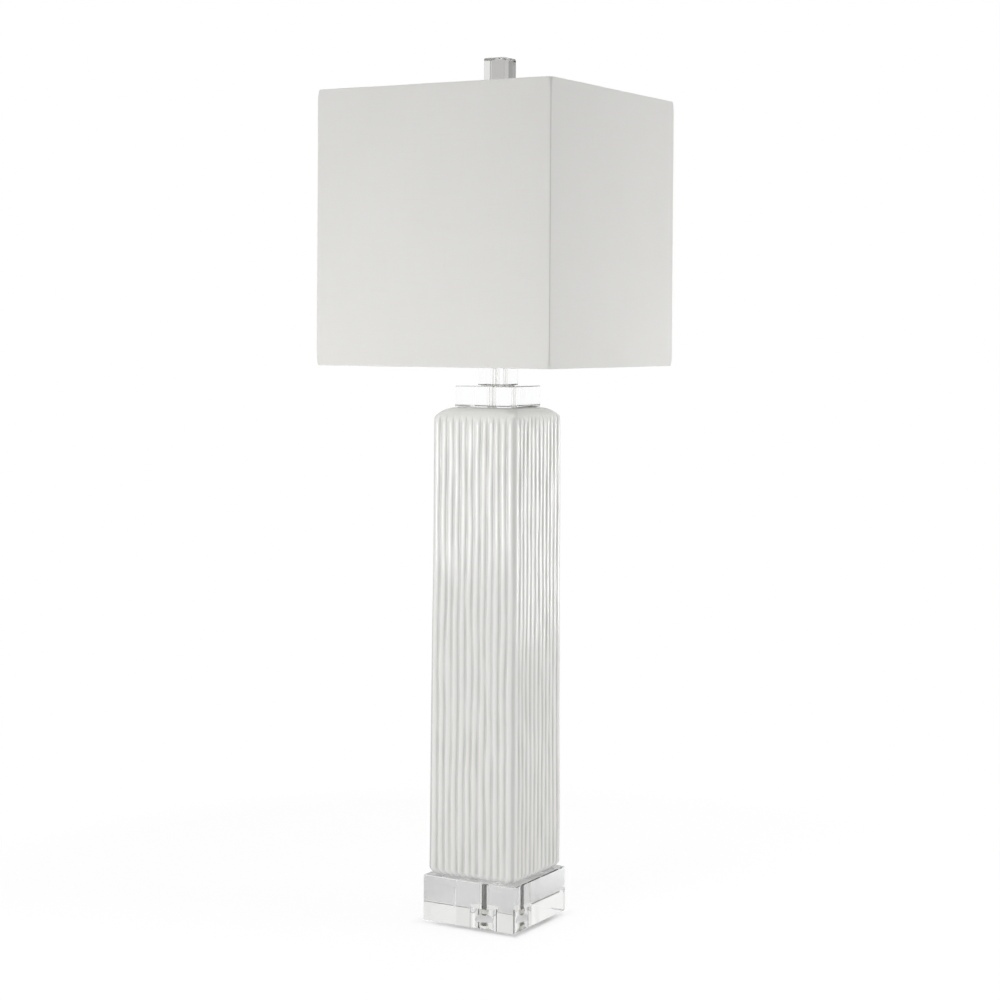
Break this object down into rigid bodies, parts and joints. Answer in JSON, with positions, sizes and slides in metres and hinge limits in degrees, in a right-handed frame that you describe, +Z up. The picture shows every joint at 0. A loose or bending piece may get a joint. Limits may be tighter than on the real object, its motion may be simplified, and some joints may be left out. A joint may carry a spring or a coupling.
{
  "type": "column table lamp",
  "caption": "Table lamp: a ribbed square ceramic column between clear square blocks, with a square linen shade on a harp and a clear block finial.",
  "frame": {"origin": "middle of the lamp's footprint at table level, under the foot pads", "axes": "+Z up along the rod; the front faces -Y, the cord leaves the column at the back, +Y; the harp lies in the XZ plane"},
  "size_m": [0.283, 0.283, 0.9328],
  "materials": {
    "ceramic_glaze": "white glaze, glossy",
    "clear_acrylic": "clear, polished",
    "crystal": "clear, polished",
    "linen": "off-white plain weave",
    "styrene": "white, translucent sheet",
    "shade_frame": "white enamel",
    "satin_nickel": "brushed nickel plate",
    "polished_nickel": "polished nickel plate",
    "zinc_steel": "zinc plate",
    "brass": "plain brass",
    "phenolic": "black moulded",
    "black_knob": "black moulded",
    "paper_liner": "fibre insulating sheet",
    "clear_vinyl": "soft clear vinyl",
    "white_rubber": "soft white",
    "white_nylon": "white moulded",
    "frosted_glass": "frosted white inside",
    "aluminium_cap": "bright",
    "black_glass": "opaque black"
  },
  "bodies": {
    "lamp": {"foot_pads": "clear_vinyl", "base_block": "clear_acrylic", "base_washer": "zinc_steel", "base_lock_washer": "zinc_steel", "base_nut": "zinc_steel", "lamp_rod": "zinc_steel", "lower_gasket": "clear_vinyl", "column_body": "ceramic_glaze", "lower_centring_ring": "white_rubber", "cord_bushing": "white_nylon", "upper_centring_ring": "white_rubber", "upper_gasket": "clear_vinyl", "cap_block": "clear_acrylic", "cap_gasket": "clear_vinyl", "neck_block": "clear_acrylic", "neck_check_ring": "satin_nickel", "upper_nut": "satin_nickel", "harp_saddle": "satin_nickel", "socket_cap": "satin_nickel", "socket_set_screw": "zinc_steel", "socket_shell": "satin_nickel", "socket_liner": "paper_liner", "socket_insulator": "phenolic", "socket_terminal_screws": "brass", "socket_screw_shell": "brass", "socket_centre_contact": "brass"},
    "switch": {"switch_shaft": "zinc_steel", "switch_knob": "black_knob"},
    "harp": {"harp_wire": "satin_nickel"},
    "ferrule_left": {"harp_ferrule_left": "satin_nickel"},
    "ferrule_right": {"harp_ferrule_right": "satin_nickel"},
    "swivel": {"harp_stud": "satin_nickel"},
    "shade": {"shade_linen": "linen", "shade_styrene": "styrene", "shade_top_trim": "linen", "shade_bottom_trim": "linen", "shade_top_wire": "shade_frame", "shade_bottom_wire": "shade_frame", "shade_spider": "shade_frame"},
    "finial_thread": {"finial_insert": "brass"},
    "finial": {"finial_base": "polished_nickel", "finial_block": "crystal"},
    "bulb_tip": {"bulb_contact": "zinc_steel"},
    "bulb": {"bulb_insulator": "black_glass", "bulb_cap": "aluminium_cap", "bulb_glass": "frosted_glass"}
  },
  "joints": [
    {"name": "switch_turn", "type": "hinge", "parent": "lamp", "child": "switch", "pos_m": [0, -0.032, 0.6479], "axis": [0, -1, 0], "continuous": true},
    {"name": "harp_lift", "type": "slide", "parent": "lamp", "child": "harp", "axis": [0, 0, 1], "range_m": [0, 0.025]},
    {"name": "ferrule_left_lift", "type": "slide", "parent": "harp", "child": "ferrule_left", "axis": [0, 0, 1], "range_m": [0, 0.012]},
    {"name": "ferrule_right_lift", "type": "slide", "parent": "harp", "child": "ferrule_right", "axis": [0, 0, 1], "range_m": [0, 0.012]},
    {"name": "shade_turn", "type": "hinge", "parent": "harp", "child": "swivel", "pos_m": [0, 0, 0.8775], "axis": [0, 0, 1], "continuous": true},
    {"name": "shade_lift", "type": "slide", "parent": "swivel", "child": "shade", "axis": [0, 0, 1], "range_m": [0, 0.03]},
    {"name": "finial_thread_rise", "type": "slide", "parent": "shade", "child": "finial_thread", "axis": [0, 0, 1], "range_m": [0, 0.0104]},
    {"name": "finial_turn", "type": "hinge", "parent": "finial_thread", "child": "finial", "pos_m": [0, 0, 0.8968], "axis": [0, 0, 1], "range_deg": [0, 3960]},
    {"name": "bulb_thread_rise", "type": "slide", "parent": "lamp", "child": "bulb_tip", "axis": [0, 0, 1], "range_m": [0, 0.02]},
    {"name": "bulb_turn", "type": "hinge", "parent": "bulb_tip", "child": "bulb", "pos_m": [0, 0, 0.66], "axis": [0, 0, 1], "range_deg": [0, 1980]}
  ],
  "couplings": [
    {"joint": "finial_thread_rise", "follows": "finial_turn", "m_per_rad": 0.00014972},
    {"joint": "bulb_thread_rise", "follows": "bulb_turn", "m_per_rad": 0.0005775}
  ]
}
